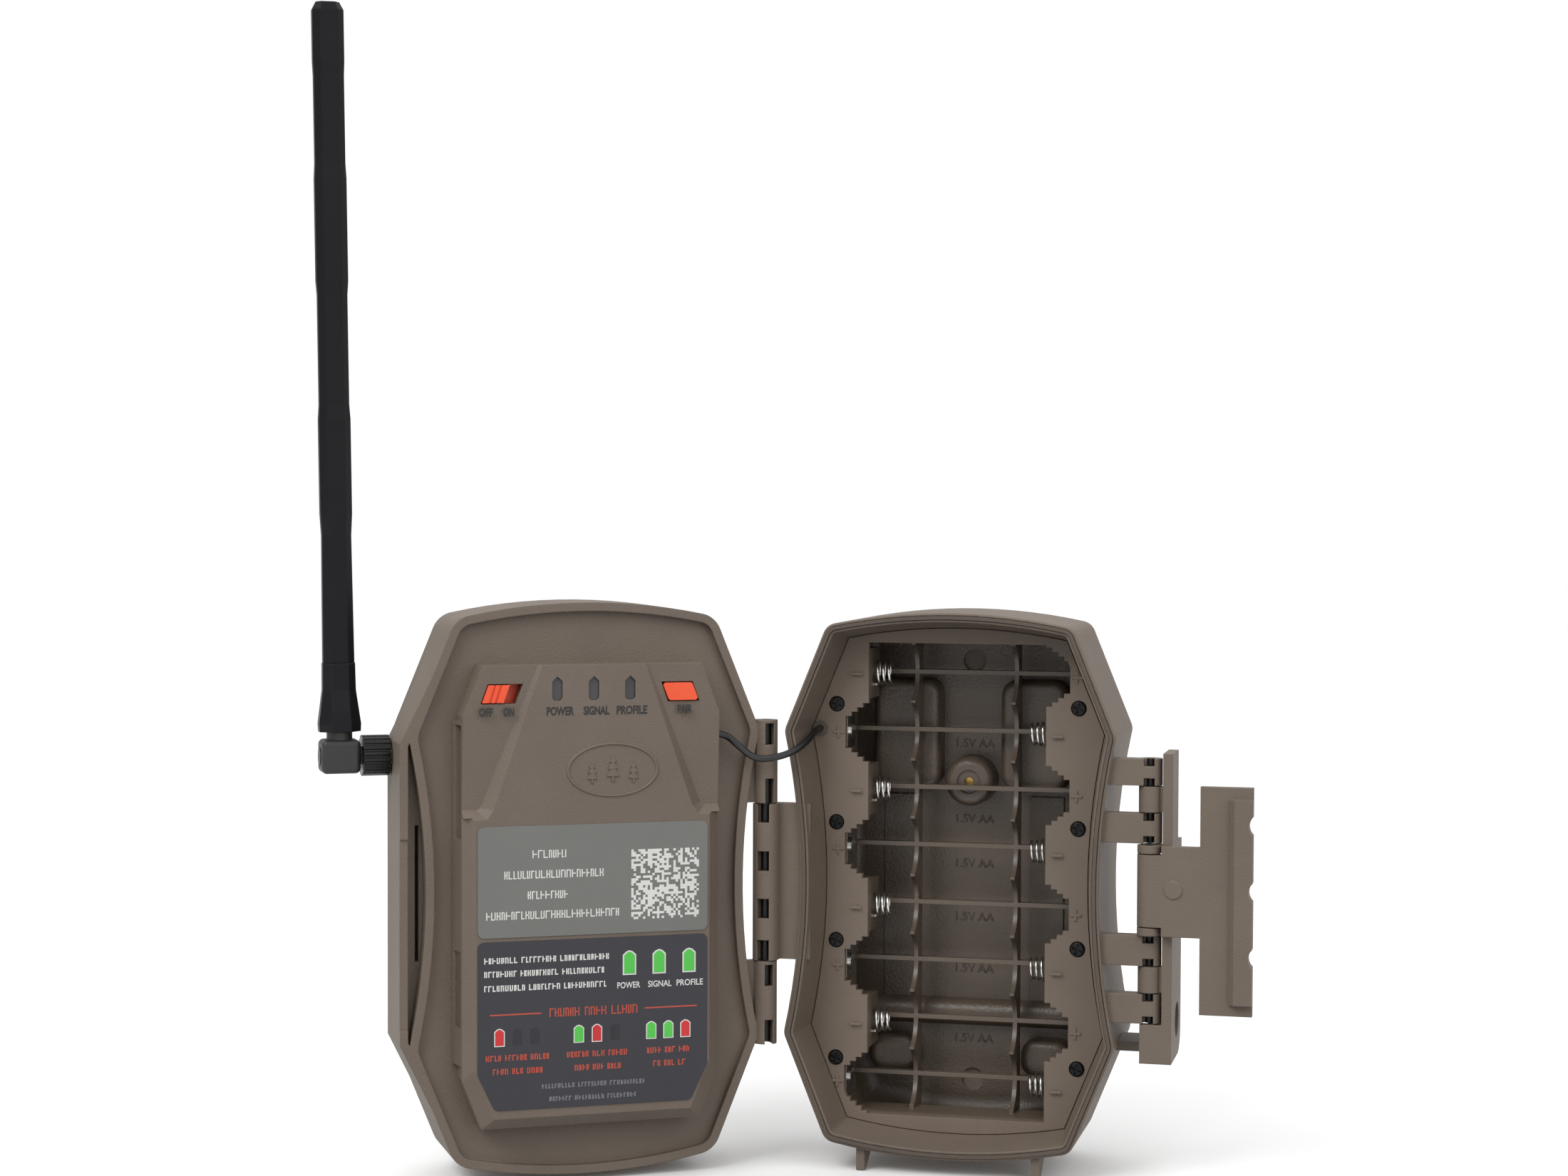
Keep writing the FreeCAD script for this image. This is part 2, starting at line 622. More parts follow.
def spring_envelope(side, z):
    # a tapering stack of three coils around a core, pointing into the bay
    base = size("springRadius")
    length = size("springLength")
    coils = 3
    outline = [Vector(0, 0, 0), Vector(base, 0, 0)]
    for i in range(coils):
        mid = (i + 0.5) * length / coils
        end = (i + 1) * length / coils
        reach = base - (i + 0.5) * 0.45
        outline += [Vector(reach, 0, mid), Vector(reach - 0.9, 0, end)]
    outline += [Vector(0, 0, length), Vector(0, 0, 0)]
    solid = Part.Face(Part.makePolygon(outline)).revolve(Vector(0, 0, 0), Vector(0, 0, 1), 360)
    solid.rotate(Vector(0, 0, 0), Vector(0, 1, 0), -90 * side)
    solid.translate(Vector(side * size("narrowHalf"), cellAxis, z))
    return solid


springs = [spring_envelope(side, z) for side in (-1, 1)
           for i, z in enumerate(bayHeights) if bay_edge(side, i) == size("narrowHalf")]
keep("battery_springs", Part.makeCompound(springs), rearPlace)


def contact(side, z):
    # plate with a round bump for the cell's positive end
    x0 = side * (size("wideHalf") + 0.6)
    plateWall = 0.5
    a, b = sorted((x0, x0 - side * plateWall))
    plate = box(a, cellAxis - 4.5, z - 4.5, b, cellAxis + 4.5, z + 4.5)
    bump = rod(2.2, (x0 - side * plateWall, cellAxis, z), (-side, 0, 0), 0.6)
    return plate.fuse(bump)


contacts = [contact(side, z) for side in (-1, 1)
            for i, z in enumerate(bayHeights) if bay_edge(side, i) == size("wideHalf")]
keep("battery_contacts", Part.makeCompound(contacts), rearPlace)

# brass insert with the tripod thread
insertOuter = barrel("insert_outer", "0", "Sizes.rearDepth - Sizes.tripodLength - 1", "Sizes.tripodHeight",
                     "Sizes.tripodRadius + 1", "Sizes.tripodLength + 1", turnBack)
insertBore = barrel("insert_bore", "0", "Sizes.rearDepth - Sizes.tripodLength", "Sizes.tripodHeight",
                    "Sizes.tripodRadius", "Sizes.tripodLength + 1", turnBack)
listed(carved("tripod_cut", insertOuter, insertBore), "tripod_insert", rearPlace)

# hinge pin through the barrel and both knuckles
seated(barrel("hinge_pin_bar", "-(Sizes.kneeHalfWidth + Sizes.hingeOffset)", "0",
              "-(Sizes.barrelHalfHeight + Sizes.jointGap + Sizes.knuckleHeight - 0.6)",
              "Sizes.pinRadius",
              "2 * (Sizes.barrelHalfHeight + Sizes.jointGap + Sizes.knuckleHeight - 0.6)", turnUp),
       "hinge_pin", rearPlace)

# rubber grommet where the power cable enters the tray
grommet = rod(grommetRadius + 0.4, (grommetX, trayDepth - 0.5, grommetZ), (0, 1, 0), 0.5).fuse(
    rod(grommetRadius, (grommetX, trayDepth, grommetZ), (0, 1, 0), size("trayWall")))
grommet = grommet.cut(rod(size("cableRadius"), (grommetX, trayDepth - 1, grommetZ), (0, 1, 0), 6))
keep("cable_grommet", grommet, rearPlace)

# two pins that carry the lever
leverPins = [upright(size("latchPin"), latchX, latchY, armSpans[1][0], armSpans[0][1]),
             upright(size("latchPin"), latchX, latchY, armSpans[3][0], armSpans[2][1])]
keep("lever_pins", Part.makeCompound(leverPins), rearPlace)


# ---------- latch ----------

endGap = size("jointGap")
hookY = latchY - size("hookOffset")
plateIn = latchX + latchRadius + size("latchGap")
plateOut = plateIn + size("latchPlate")
earHeight = 2.0
haspTop = armSpans[1][0] - endGap - earHeight - endGap
haspLow = armSpans[2][1] + endGap + earHeight + endGap
eyeZ = -34.0
eyeY = 15.5


def latch_lever():
    plateTop, plateLow = size("leverTop"), size("leverBottom")
    lever = box(plateIn, latchY - 2.8, plateLow, plateOut, latchY + size("leverReach") * 0.55, plateTop)
    lever = lever.fuse(box(plateIn, latchY, plateLow, plateOut, latchY + size("leverReach"), 12.0))
    y = latchY + size("leverReach")
    edge = [e for e in lever.Edges if abs(e.BoundBox.YMin - y) < 1e-4
            and abs(e.BoundBox.YMax - y) < 1e-4 and abs(e.BoundBox.ZMin - plateLow) < 1e-4
            and abs(e.BoundBox.ZMax - plateLow) < 1e-4]
    lever = lever.makeFillet(7.0, edge)
    knuckles = [(armSpans[1][1] + endGap, armSpans[0][0] - endGap),
                (armSpans[3][1] + endGap, armSpans[2][0] - endGap)]
    for low, high in knuckles:
        lever = lever.fuse(upright(latchRadius, latchX, latchY, low, high))
        lever = lever.fuse(box(latchX, latchY - 1.4, low, plateIn + 0.5, latchY + 1.4, high))
    ears = [(haspTop + endGap, armSpans[1][0] - endGap), (armSpans[2][1] + endGap, haspLow - endGap)]
    for low, high in ears:
        ear = upright(latchRadius, latchX, hookY, low, high)
        ear = ear.fuse(box(latchX - 1.6, hookY, low, plateIn + 0.5, latchY + 1.4, high))
        lever = lever.fuse(ear)
    # front flange at the lower end
    lever = lever.fuse(box(latchX - 2.2, latchY - 2.8, plateLow, plateIn + 0.5, latchY,
                           armSpans[3][0] - endGap))
    # pin holes and padlock eye
    lever = lever.cut(upright(size("latchPin") + size("pinGap"), latchX, latchY,
                              knuckles[0][0] - 0.2, knuckles[0][1] + 0.2))
    lever = lever.cut(upright(size("latchPin") + size("pinGap"), latchX, latchY,
                              knuckles[1][0] - 0.2, knuckles[1][1] + 0.2))
    lever = lever.cut(upright(size("latchPin"), latchX, hookY, ears[1][0] - 0.2, ears[0][1] + 0.2))
    lever = lever.cut(rod(size("eyeRadius"), (plateIn - 1, eyeY, eyeZ), (1, 0, 0),
                          size("latchPlate") + 2))
    return lever.removeSplitter()


keep("latch_lever", latch_lever(), rearPlace)
keep("hasp_pin", upright(size("latchPin"), latchX, hookY, armSpans[2][1] + endGap,
                         armSpans[1][0] - endGap), rearPlace)


def latch_hasp():
    knuckle = upright(latchRadius, latchX, hookY, haspLow, haspTop)
    front = hookY - latchRadius
    plateBack = front + size("haspWall")
    armTop, armLow = armSpans[1][0] - endGap, armSpans[2][1] + endGap
    clear = latchX + latchRadius + size("latchGap")
    hasp = knuckle.fuse(box(latchX, front, haspLow, clear + 0.6, plateBack, haspTop))
    hasp = hasp.fuse(box(clear, front, armLow, latchX + size("haspArm") + 1, plateBack, armTop))
    far = latchX + size("haspReach")
    middle = (armTop + armLow) / 2 - 2.0
    half = size("haspHalfHeight")
    cap = box(latchX + size("haspArm"), front, middle - half, far, plateBack, middle + half)
    hook = box(far - size("hookWidth"), front - size("hookLip"), middle - half + 3, far,
               front + 0.5, middle + half - 3)
    hook = hook.makeChamfer(1.3, [e for e in hook.Edges if e.BoundBox.ZLength > 5
                                  and abs(e.BoundBox.XMax - (far - size("hookWidth"))) < 1e-6
                                  and abs(e.BoundBox.YMax - (front - size("hookLip"))) < 1e-6])
    hasp = hasp.fuse(cap).fuse(hook)
    # three finger notches in the far edge
    for step in (-1, 0, 1):
        hasp = hasp.cut(rod(3.2, (far + 2.2, front - 5, middle + 2.6 + 16.6 * step), (0, 1, 0), 12))
    hasp = hasp.fuse(rod(2.3, (latchX + 6.4, front - 0.3, 1.5), (0, 1, 0), 1.0))
    hasp = hasp.cut(upright(size("latchPin") + size("pinGap"), latchX, hookY,
                            haspLow - 1, haspTop + 1))
    return hasp.removeSplitter()


keep("latch_hasp", latch_hasp(), rearPlace)


# ---------- front housing ----------

wingX = size("wingX")
wingHalf = size("wingHalfHeight")
hookShelf = size("haspReach") - size("hookWidth") - hookY - size("hookGap")


def softened_lip(solid, y):
    # rounds the outermost edge of the face at depth y, if the kernel can
    edges = [e for e in solid.Edges
             if abs(e.BoundBox.YMin - y) < 1e-4 and abs(e.BoundBox.YMax - y) < 1e-4]
    outside = slab(rim(lipGrow - 0.6, y - 0.5), 1.0)
    chosen = [e for e in edges if not outside.isInside(e.valueAt(
        (e.FirstParameter + e.LastParameter) / 2), 1e-3, True)]
    try:
        rounded = solid.makeFillet(0.6, chosen)
        return rounded if rounded.isValid() else solid
    except Part.OCCError:
        return solid


def front_shell():
    lip = size("lipOverlap")
    outer = slab(rim(lipGrow, -lip), frontDepth + lip)
    outer = softened(outer, frontDepth, size("backRounding"))
    corner = (size("cornerHalfWidth") + lipGrow * 0.75, size("cornerHalfHeight") + lipGrow * 0.6)
    wingLoop = [(-corner[0] + 3, corner[1] - 2.5), (-corner[0], corner[1] - 2.0), (-wingX, wingHalf),
                (-wingX, -wingHalf), (-corner[0], -corner[1] + 2.0), (-corner[0] + 3, -corner[1] + 2.5)]
    wing = slab(polygon(wingLoop, -lip), lip + hookShelf)
    body = outer.fuse(wing)
    # the rear rim's seat, the closed electronics space, and the opening under the module
    body = body.cut(slab(rim(size("lipGap"), -lip - 1), lip + 1 + seatDepth))
    space = slab(rim(lipGrow - 1.6 - wall, seatDepth + 2.0), frontDepth - seatDepth - 2.0 - wall)
    space = softened(space, frontDepth - wall, size("backRounding") - wall)
    body = body.cut(space)
    body = body.cut(slab(polygon(module_loop(-2.6), 0), 6))
    body = softened_lip(body, -lip)
    # shallow pocket in the latch wing beside the lip, with a narrow slot in its floor
    edgeWall = 2.1
    pocketLoop = [(-corner[0] + 1.0, corner[1] - 4.0), (-wingX + edgeWall, wingHalf - 0.6),
                  (-wingX + edgeWall, -wingHalf + 0.6), (-corner[0] + 1.0, -corner[1] + 4.0)]
    pocketShape = slab(polygon(pocketLoop, -lip - 1), lip + 4.4).cut(slab(rim(lipGrow, -lip - 2), 12))
    slotShape = box(-waistX - lipGrow - 2.0, -lip, -17.6, -waistX - lipGrow - 1.1, 11.0, 17.0)
    body = body.cut(pocketShape).cut(slotShape)
    body = body.cut(box(-wingX - 1, -lip - 1, -34.4, -wingX + edgeWall + 0.3, -lip + 0.5, 13.9))
    adds, cuts = [], []
    # hinge knuckles and their leaves
    radius = size("frontKnuckleRadius")
    for side in (-1, 1):
        low, high = sorted((side * (barrelHalf + endGap),
                            side * (barrelHalf + endGap + size("knuckleHeight"))))
        adds.append(upright(radius, hingeX, 0, low, high))
        adds.append(box(waistX + size("lipGap") + 1.0, 0.4, low, hingeX, radius, high))
        cuts.append(upright(pinBore, hingeX, 0, low - 1, high + 1))
        for a, b in ((low - 1, low + 6.4), (high - 6.4, high - 0.8)):
            cuts.append(box(hingeX - 1.0, -radius - 1, a, hingeX + 1.3, -0.4, b))
    for extra in adds:
        body = body.fuse(extra)
    # leaves stop at the rear rim's seat
    body = body.cut(slab(rim(size("lipGap"), -lip - 1), lip + 1 + seatDepth))
    # windows of the lens side
    cuts.append(rod(size("lensRadius") - 1, (0, frontDepth - 6, size("lensZ")), (0, 1, 0), 9))
    cuts.append(box(-size("infraredHalfWidth") + 2, frontDepth - 6,
                    size("infraredZ") - size("infraredHalfHeight") + 2,
                    size("infraredHalfWidth") - 2, frontDepth + 3,
                    size("infraredZ") + size("infraredHalfHeight") - 2))
    cuts.append(rod(size("motionRadius") - 1.5, (0, frontDepth - 6, size("motionZ")), (0, 1, 0), 9))
    # antenna jack hole through the latch-side wall
    cuts.append(rod(size("jackRadius") + 0.05, (-wingX - 2, size("antennaY"), size("antennaZ")),
                    (1, 0, 0), 16))
    for hole in cuts:
        body = body.cut(hole)
    return body.removeSplitter()


def module_loop(grow, growTop=None):
    w = size("moduleHalfWidth") + grow
    top = size("moduleTop") + (grow if growTop is None else growTop)
    low = size("moduleBottom") + grow
    bevelX, bevelZ = size("moduleCorner"), size("moduleCornerHeight")
    right = [(w - bevelX, -low), (w, -low + bevelZ), (w, top - bevelZ), (w - bevelX, top)]
    return right + mirrored(right)


keep("front_shell", front_shell(), frontPlace)

# fascia that covers the lens side
fasciaY = frontDepth
fascia = slab(rim(-6.0, fasciaY), size("fasciaWall"))
fascia = softened(fascia, fasciaY + size("fasciaWall"), 1.2)
fascia = fascia.cut(rod(size("lensRadius"), (0, fasciaY - 1, size("lensZ")), (0, 1, 0), 6))
fascia = fascia.cut(rod(size("motionRadius"), (0, fasciaY - 1, size("motionZ")), (0, 1, 0), 6))
fascia = fascia.cut(box(-size("infraredHalfWidth"), fasciaY - 1,
                        size("infraredZ") - size("infraredHalfHeight"), size("infraredHalfWidth"),
                        fasciaY + 4, size("infraredZ") + size("infraredHalfHeight")))
for spotX in (-14.0, 14.0):
    fascia = fascia.cut(rod(1.5, (spotX, fasciaY - 1, size("lensZ") - 12), (0, 1, 0), 6))
keep("front_fascia", fascia, frontPlace)

windowPlate = brick("infrared_plate", "-Sizes.infraredHalfWidth + 0.15", "Sizes.frontDepth",
                    "Sizes.infraredZ - Sizes.infraredHalfHeight + 0.15",
                    ("2 * Sizes.infraredHalfWidth - 0.3", "Sizes.fasciaWall - 0.6",
                     "2 * Sizes.infraredHalfHeight - 0.3"))
seated(windowPlate, "infrared_window", frontPlace)
seated(barrel("lens_window_disc", "0", "Sizes.frontDepth + 0.2", "Sizes.lensZ",
              "Sizes.lensRadius - 0.1", "1.4", turnBack), "lens_window", frontPlace)
lensTube = barrel("lens_tube", "0", "Sizes.frontDepth - 12", "Sizes.lensZ", "Sizes.barrelRadius",
                  "11.6", turnBack)
lensBore = barrel("lens_bore", "0", "Sizes.frontDepth - 10.4", "Sizes.lensZ", "Sizes.barrelRadius - 2",
                  "12", turnBack)
listed(carved("lens_barrel_cut", lensTube, lensBore), "lens_barrel", frontPlace)
lensBall = Part.makeSphere(7.0, Vector(0, frontDepth - 9.0, size("lensZ")), Vector(0, 1, 0))
lensSlice = rod(size("barrelRadius") - 2.05, (0, frontDepth - 8, size("lensZ")), (0, 1, 0), 8)
keep("lens_glass", lensBall.common(lensSlice), frontPlace)
seated(brick("sensor_plate", "-9", "Sizes.frontDepth - 12 - Sizes.boardWall", "Sizes.lensZ - 9",
             ("18", "Sizes.boardWall", "18")), "sensor_board", frontPlace)
seated(brick("light_plate", "-Sizes.infraredHalfWidth + 1", "Sizes.frontDepth - 9",
             "Sizes.infraredZ - Sizes.infraredHalfHeight + 1",
             ("2 * Sizes.infraredHalfWidth - 2", "Sizes.boardWall", "2 * Sizes.infraredHalfHeight - 2")),
       "infrared_board", frontPlace)
lights = []
lightFoot = frontDepth - 9 + size("boardWall")
for column in range(8):
    for line in range(5):
        x = (column - 3.5) * 4.9
        z = size("infraredZ") + (line - 2) * 5.2
        body = rod(1.5, (x, lightFoot, z), (0, 1, 0), 2.0)
        dome = Part.makeSphere(1.5, Vector(x, lightFoot + 2.0, z))
        lights.append(body.fuse(dome.common(rod(1.5, (x, lightFoot + 2.0, z), (0, 1, 0), 2.0))))
keep("infrared_lights", Part.makeCompound(lights), frontPlace)
motionShell = Part.makeSphere(16.0, Vector(0, frontDepth - 8.2, size("motionZ")))
motionCore = Part.makeSphere(15.0, Vector(0, frontDepth - 8.2, size("motionZ")))
motionReach = rod(size("motionRadius") - 0.15, (0, frontDepth, size("motionZ")), (0, 1, 0), 12)
keep("motion_lens", motionShell.cut(motionCore).common(motionReach), frontPlace)
seated(barrel("motion_can", "0", "Sizes.frontDepth - 12", "Sizes.motionZ", "4.6", "5", turnBack),
       "motion_sensor", frontPlace)
seated(barrel("day_sensor", "-14", "Sizes.frontDepth + 0.1", "Sizes.lensZ - 12", "1.4", "1.8", turnBack),
       "light_sensor", frontPlace)
seated(barrel("mic_can", "14", "Sizes.frontDepth + 0.1", "Sizes.lensZ - 12", "1.4", "1.2", turnBack),
       "microphone", frontPlace)


# ---------- control module ----------

moduleFace = -size("moduleRise")
moduleHalf = size("moduleHalfWidth")
moduleWall = size("moduleWall")
skew = 0.9
controlZ = size("controlZ")
halfWindow = size("windowHeight") / 2
gap = size("controlGap")
cableExitZ = 39.3
cableExitY = -2.6


def pad_depth(z):
    # depth of the two sloping control pads at a height
    return moduleFace + size("padDrop") + (size("moduleTop") - z) * size("padTilt")


def slanted(x, width, halfHeight, lean):
    return [(x - width / 2 - lean, controlZ - halfHeight), (x + width / 2 - lean, controlZ - halfHeight),
            (x + width / 2 + lean, controlZ + halfHeight), (x - width / 2 + lean, controlZ + halfHeight)]


lightSpots = [(i - 1) * size("lightPitch") for i in range(3)]


def light_loop(x, grow):
    w, h = size("lightWidth") / 2 + grow, size("lightHeight") / 2 + grow
    z = size("lightZ")
    return [(x - w, z - h + 0.6), (x - w + 0.6, z - h), (x + w - 0.6, z - h), (x + w, z - h + 0.6),
            (x + w, z + h - 1.3), (x, z + h), (x - w, z + h - 1.3)]


def module_cover():
    bevel = size("moduleBevel")
    cover = slab(polygon(module_loop(0), moduleFace), size("moduleRise") + seatDepth)
    # side wall that flares towards its foot, on the card side
    flare = Part.Face(Part.makePolygon([
        Vector(-moduleHalf + 1, -6.4, -43.2), Vector(-moduleHalf, -6.4, -43.2),
        Vector(-moduleHalf - 1.4, seatDepth, -43.2), Vector(-moduleHalf + 1, seatDepth, -43.2),
        Vector(-moduleHalf + 1, -6.4, -43.2)])).extrude(Vector(0, 0, 86.8))
    cover = cover.fuse(flare)
    # bevel round the label panel, below the control pads
    keepLow = Part.makeLoft([polygon(module_loop(0), moduleFace + bevel - 0.4),
                             polygon(module_loop(-bevel, 0), moduleFace)], True, True)
    keepLow = keepLow.fuse(slab(polygon(module_loop(3), moduleFace + bevel - 0.4), 12))
    below = box(-60, moduleFace - 1, -80, 60, moduleFace + bevel - 0.4, size("padEnd") - 1.8)
    cover = cover.cut(below.cut(keepLow))
    # two sloping control pads, each bevelled down from the face
    top, end = size("moduleTop"), size("padEnd")
    for side in (-1, 1):
        upper = [(12.7, top + 2), (25.8, end), (27.4, end - 2.2), (moduleHalf + 3, end - 2.4),
                 (moduleHalf + 3, top + 2)]
        lower = [(13.5, top + 2), (28.6, end + 0.6), (29.6, end), (moduleHalf + 3, end - 0.1),
                 (moduleHalf + 3, top + 2)]
        high = [Vector(side * x, moduleFace - 0.02, z) for x, z in upper]
        deep = [Vector(side * x, pad_depth(z), z) for x, z in lower]
        wedge = Part.makeLoft([Part.makePolygon(high + high[:1]), Part.makePolygon(deep + deep[:1])],
                              True, True)
        cover = cover.cut(wedge)
    # inside, windows, side groove, card recess and cable hole
    cover = cover.cut(slab(polygon(module_loop(-moduleWall), moduleFace + size("moduleFaceWall")), 12))
    openings = [slanted(size("switchX"), size("switchWindow"), halfWindow, skew),
                slanted(size("pairX"), size("pairWidth") + 2 * gap, halfWindow, -skew)]
    openings += [light_loop(x, 0.05) for x in lightSpots]
    for loop in openings:
        cover = cover.cut(slab(polygon(loop, moduleFace - 1), size("moduleFaceWall") + 2))
    cover = cover.cut(box(-moduleHalf - 3, -5.6, 14.0, -moduleHalf + 0.8, -1.4, 42.7))
    cover = cover.cut(box(-moduleHalf - 3, -5.2, -33.5, -moduleHalf + 0.8, -0.6, -14.4))
    cover = cover.cut(rod(size("cableRadius") + 0.15, (moduleHalf - 4, cableExitY, cableExitZ),
                          (1, 0, 0), 6))
    return cover.removeSplitter()


keep("module_cover", module_cover(), frontPlace)

knobTravel = size("switchTravel")
knobWidth = size("switchWindow") - knobTravel - 2 * gap
knobX = size("switchX") - knobTravel / 2
knob = new_body("power_knob", frontPlace)
pad(knob, "knob_block", [slanted(knobX, knobWidth, halfWindow - gap, skew * 0.9)],
    "-Sizes.moduleRise + 0.7", "Sizes.moduleFaceWall")
pocket(knob, "knob_grip", [slanted(knobX - 0.9, 0.5, 2.6, skew * 0.9), slanted(knobX + 0.6, 0.5, 2.6, skew * 0.9)],
       "-Sizes.moduleRise + 0.6", "0.55")

pairButton = new_body("pair_button", frontPlace)
pad(pairButton, "pair_block", [slanted(size("pairX"), size("pairWidth"), halfWindow - gap, -skew)],
    "-Sizes.moduleRise + 0.5", "Sizes.moduleFaceWall")
round_edges(pairButton, "pair_corners", 0.7,
            lambda e: e.BoundBox.YLength > 1 and e.BoundBox.XLength < 1e-4)

pipeSolids = [slab(polygon(light_loop(x, 0), moduleFace + 0.7), size("moduleFaceWall") + 1)
              for x in lightSpots]
keep("light_pipes", Part.makeCompound(pipeSolids), frontPlace)

switchBack = "-Sizes.moduleRise + 0.7 + Sizes.moduleFaceWall + 0.1"
seated(brick("slide_case", "Sizes.switchX - 3.8", switchBack, "Sizes.controlZ - 2.8",
             ("9", "3.4", "5.6")), "power_switch", frontPlace)
pushBack = "-Sizes.moduleRise + 0.5 + Sizes.moduleFaceWall + Sizes.pairTravel + 0.1"
seated(brick("push_case", "Sizes.pairX - 3", pushBack, "Sizes.controlZ - 3",
             ("6", "3", "6")), "pair_switch", frontPlace)

labelFace = "-Sizes.moduleRise - Sizes.labelWall"
labelHalf = size("labelHalfWidth")
idTop, idLow = size("idLabelTop"), size("idLabelTop") - size("idLabelHeight")
idLabel = new_body("id_label", frontPlace)
pad(idLabel, "id_plate", [rectangle(-labelHalf, idLow, labelHalf, idTop)], labelFace, "Sizes.labelWall")
round_edges(idLabel, "id_corners", 1.6,
            lambda e: e.BoundBox.XLength < 1e-4 and e.BoundBox.ZLength < 1e-4)
guideHigh, guideLow = size("guideTop"), size("guideTop") - size("guideHeight")
guide = new_body("guide_label", frontPlace)
pad(guide, "guide_plate", [[(-labelHalf + 4.4, guideLow), (labelHalf - 4.4, guideLow),
                            (labelHalf, guideLow + 9), (labelHalf, guideHigh),
                            (-labelHalf, guideHigh), (-labelHalf, guideLow + 9)]],
    labelFace, "Sizes.labelWall")
round_edges(guide, "guide_corners", 1.6,
            lambda e: e.BoundBox.XLength < 1e-4 and e.BoundBox.ZLength < 1e-4)

cardCover = brick("card_plate", "-Sizes.moduleHalfWidth - 0.35", "-5.1", "-33.4",
                  ("1.15", "4.4", "18.9"))
seated(cardCover, "card_cover", frontPlace)

seated(brick("main_plate", "-28", "Sizes.boardDepth", "-50", ("56", "Sizes.boardWall", "104")),
       "main_board", frontPlace)
boardBack = "Sizes.boardDepth + Sizes.boardWall"
seated(brick("modem_plate", "-15", boardBack + " + 0.1", "-48", ("30", "3.2", "30")),
       "modem_board", frontPlace)
socketFront = "Sizes.boardDepth - 3.1"
seated(brick("memory_case", "-27.5", socketFront, "-27", ("26", "3.0", "22")), "card_socket", frontPlace)
seated(brick("sim_case", "-27.5", socketFront, "-48", ("17", "3.0", "16")), "sim_socket", frontPlace)


# ---------- antenna ----------

axisY, axisZ = size("antennaY"), size("antennaZ")
nutLength, elbowWidth = size("nutLength"), size("elbowWidth")
jackFoot = -wingX
nutIn = jackFoot - 0.4
nutOut = nutIn - nutLength
elbowIn = nutOut - 0.6
elbowMid = elbowIn - elbowWidth / 2

jackBody = rod(size("jackRadius"), (jackFoot + 9.0, axisY, axisZ), (-1, 0, 0), 9.0 + 5.0)
jackBody = jackBody.cut(rod(1.0, (jackFoot + 1, axisY, axisZ), (-1, 0, 0), 9.0))
keep("antenna_jack", jackBody, frontPlace)

nut = rod(size("nutRadius"), (nutIn, axisY, axisZ), (-1, 0, 0), nutLength)
for i in range(20):
    turn = math.radians(i * 18)
    nut = nut.cut(rod(0.45, (nutIn + 1, axisY + size("nutRadius") * math.cos(turn),
                             axisZ + size("nutRadius") * math.sin(turn)), (-1, 0, 0), nutLength + 2))
nut = nut.cut(rod(size("jackRadius") + 0.1, (nutIn + 1, axisY, axisZ), (-1, 0, 0), 6.2))
nut = nut.cut(rod(2.3 + 0.1, (nutIn, axisY, axisZ), (-1, 0, 0), nutLength + 1))
keep("antenna_nut", nut, frontPlace)

elbow = box(elbowIn - elbowWidth, axisY - size("elbowDepth") / 2, axisZ - size("elbowHeight") / 2,
            elbowIn, axisY + size("elbowDepth") / 2, axisZ + size("elbowHeight") / 2)
elbow = elbow.makeFillet(1.4, elbow.Edges)
elbow = elbow.fuse(rod(2.3, (elbowIn - 1, axisY, axisZ), (1, 0, 0), 1.0 + 0.6 + 2.0))
elbow = elbow.fuse(upright(3.25, elbowMid, axisY, axisZ + 2, axisZ + size("elbowHeight") / 2 + 1.9))
elbow = elbow.cut(rod(2.4, (elbowIn - elbowWidth - 1, axisY, axisZ), (1, 0, 0), 1.8))
elbow = elbow.cut(rod(0.55, (elbowIn + 5, axisY, axisZ), (-1, 0, 0), 3.0))
keep("antenna_elbow", elbow.removeSplitter(), frontPlace)
keep("elbow_cap", rod(2.35, (elbowIn - elbowWidth + 0.8, axisY, axisZ), (-1, 0, 0), 1.0), frontPlace)

sleeveFoot = axisZ + size("elbowHeight") / 2 + 2.0
leanTurn = Rotation(Vector(0, 1, 0), -size("whipLean"))
leanPlace = Placement(Vector(elbowMid, axisY, sleeveFoot), leanTurn)


def blade_ring(width, depth, z):
    # eight-sided section of the whip
    w, d = width / 2, depth / 2
    bevel = d * 0.62
    points = [(w, -d + bevel), (w, d - bevel), (w - bevel, d), (-w + bevel, d),
              (-w, d - bevel), (-w, -d + bevel), (-w + bevel, -d), (w - bevel, -d)]
    ring = [leanPlace.multVec(Vector(x, y, z)) for x, y in points]
    return Part.makePolygon(ring + ring[:1])


sleeveHeight = size("sleeveHeight")
whipWidth, whipDepth = size("whipWidth"), size("whipDepth")
flare = size("sleeveRadius") * 2
sleeve = Part.makeLoft([blade_ring(flare, flare * 0.86, 0), blade_ring(flare * 1.02, flare * 0.87, 2.0),
                        blade_ring(flare * 0.93, flare * 0.8, 5.5),
                        blade_ring(whipWidth + 0.5, whipDepth + 0.7, 10.5),
                        blade_ring(whipWidth + 0.3, whipDepth + 0.5, sleeveHeight)], True, True)
keep("antenna_sleeve", sleeve, frontPlace)

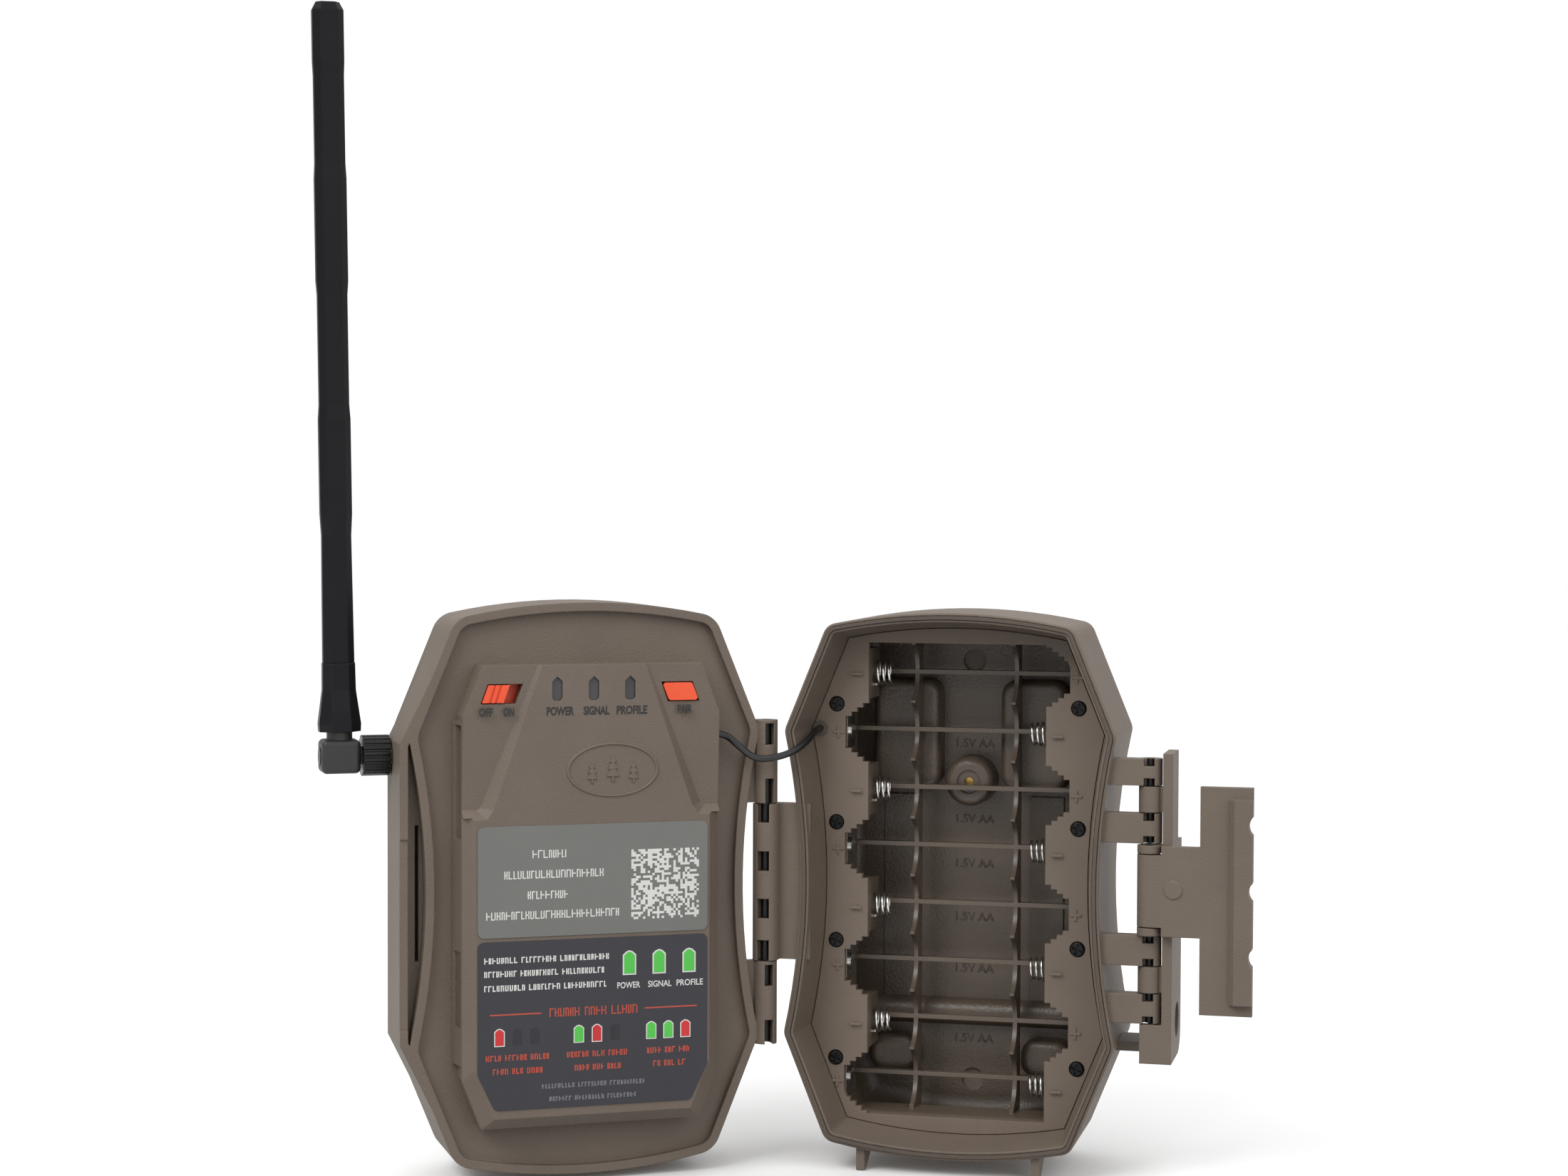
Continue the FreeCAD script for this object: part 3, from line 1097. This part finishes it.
whipHeight = axisZ + size("whipTop") - sleeveFoot
stations = [(sleeveHeight, 0.0), (0.27 * whipHeight, -0.5), (0.30 * whipHeight, 0.1),
            (0.43 * whipHeight, 0.1), (0.45 * whipHeight, -0.4), (0.60 * whipHeight, -0.4),
            (0.62 * whipHeight, 0.1), (0.76 * whipHeight, 0.1), (0.78 * whipHeight, -0.3),
            (0.90 * whipHeight, -0.3), (0.92 * whipHeight, 0.0), (whipHeight - 2.0, 0.0),
            (whipHeight, -2.0)]
whip = Part.makeLoft([blade_ring(whipWidth + extra, whipDepth + extra, z) for z, extra in stations],
                     True, True)
keep("antenna_whip", whip, frontPlace)


# ---------- power cable ----------

def rear_point(x, y, z):
    return Vector(x, y, z)


def front_point(x, y, z):
    # a point of the front housing's frame, in the rear housing's frame
    return Placement(frontOrigin, frontTurn).multVec(Vector(x, y, z))


cableRoute = [
    front_point(size("moduleHalfWidth") - size("moduleWall") - 0.2, cableExitY, cableExitZ),
    front_point(size("moduleHalfWidth") + 2.6, cableExitY, cableExitZ),
    front_point(39.0, -4.9, 36.2),
    rear_point(-49.2, -7.3, 32.4),
    rear_point(-43.6, -6.0, 33.0),
    rear_point(-40.0, -3.0, 34.4),
    rear_point(-37.7, 0.8, 36.4),
    rear_point(-36.7, 5.0, 38.5),
    rear_point(grommetX, 9.0, grommetZ),
    rear_point(grommetX, trayDepth + 1.6, grommetZ),
]


def cable_tube(points, radius):
    # straight runs joined by tangent arcs, each as large as its two runs allow
    edges, radii = [], []
    at = points[0]
    for i in range(1, len(points) - 1):
        before, corner, after = points[i - 1], points[i], points[i + 1]
        inward, outward = (corner - before), (after - corner)
        run = min(inward.Length, outward.Length)
        inward.normalize()
        outward.normalize()
        turn = inward.getAngle(outward)
        trim = 0.45 * run
        radii.append(trim / math.tan(turn / 2))
        start, end = corner - inward * trim, corner + outward * trim
        toCentre = (outward - inward).normalize()
        bow = radii[-1] / math.cos(turn / 2) - radii[-1]
        middle = corner + toCentre * bow
        edges.append(Part.LineSegment(at, start).toShape())
        edges.append(Part.Arc(start, middle, end).toShape())
        at = end
    edges.append(Part.LineSegment(at, points[-1]).toShape())
    path = Part.Wire(edges)
    section = Part.Wire([Part.Circle(points[0], points[1] - points[0], radius).toShape()])
    tube = path.makePipeShell([section], True, True)
    print("cable radii", [round(r, 1) for r in radii])
    expected = math.pi * radius ** 2 * path.Length
    print("cable length %.1f, volume %.1f of %.1f" % (path.Length, tube.Volume, expected))
    return tube


keep("power_cable", cable_tube(cableRoute, size("cableRadius")), rearPlace)


# ---------- checks and files ----------

doc.recompute()
for item in doc.Objects:
    if "Invalid" in item.State or "Error" in item.State:
        raise RuntimeError(item.Label + " failed: " + str(item.State))
os.makedirs("parts", exist_ok=True)
for item in parts:
    shape = item.Shape
    if shape.isNull() or not shape.isValid() or not shape.Solids:
        raise RuntimeError(item.Label + " has no valid shape")
for item in parts:
    item.Shape.exportStep(os.path.join("parts", item.Label + ".step"))
    print("%-18s %d solids %10.1f mm3" % (item.Label, len(item.Shape.Solids), item.Shape.Volume))
print(len(parts), "nodes")
